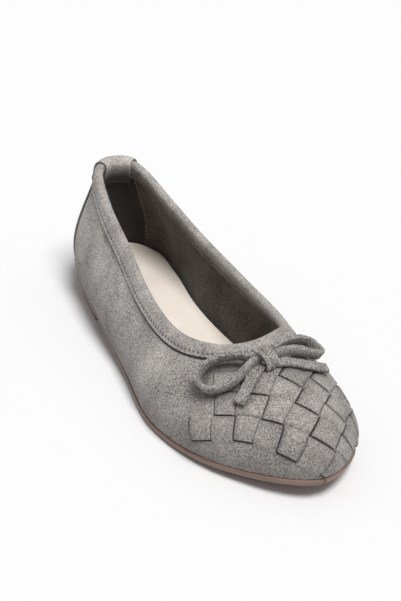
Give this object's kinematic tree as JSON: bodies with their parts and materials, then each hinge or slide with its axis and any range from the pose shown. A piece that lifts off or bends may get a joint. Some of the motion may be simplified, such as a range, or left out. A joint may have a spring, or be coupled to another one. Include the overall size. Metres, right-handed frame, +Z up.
{
  "type": "ballet flat",
  "caption": "Low women's slip-on shoe with a hollow suede upper, woven rounded toe, folded collar binding, small bow, thin sole and low heel.",
  "frame": {"origin": "middle of the heel's flat tread face, on the surface that the shoe stands on", "axes": "+X from the heel to the toe, +Y to the medial side, +Z up"},
  "size_m": [0.2454, 0.0861, 0.0689],
  "materials": {
    "outsole": "smooth warm brown, satin",
    "stacked_heel": "brown with fine level layers, satin",
    "insole_leather": "smooth cream, satin",
    "upper_suede": "grey suede with a fine speckled nap, matt",
    "trim_suede": "grey suede cut and folded, matt"
  },
  "bodies": {
    "root": {"outsole": "outsole", "heel": "stacked_heel", "insole": "insole_leather", "upper": "upper_suede", "collar_binding": "trim_suede", "back_strip": "upper_suede", "bow_knot": "trim_suede", "bow_loop_lateral": "trim_suede", "bow_loop_medial": "trim_suede", "bow_tail_lateral": "trim_suede", "bow_tail_medial": "trim_suede"}
  },
  "joints": []
}
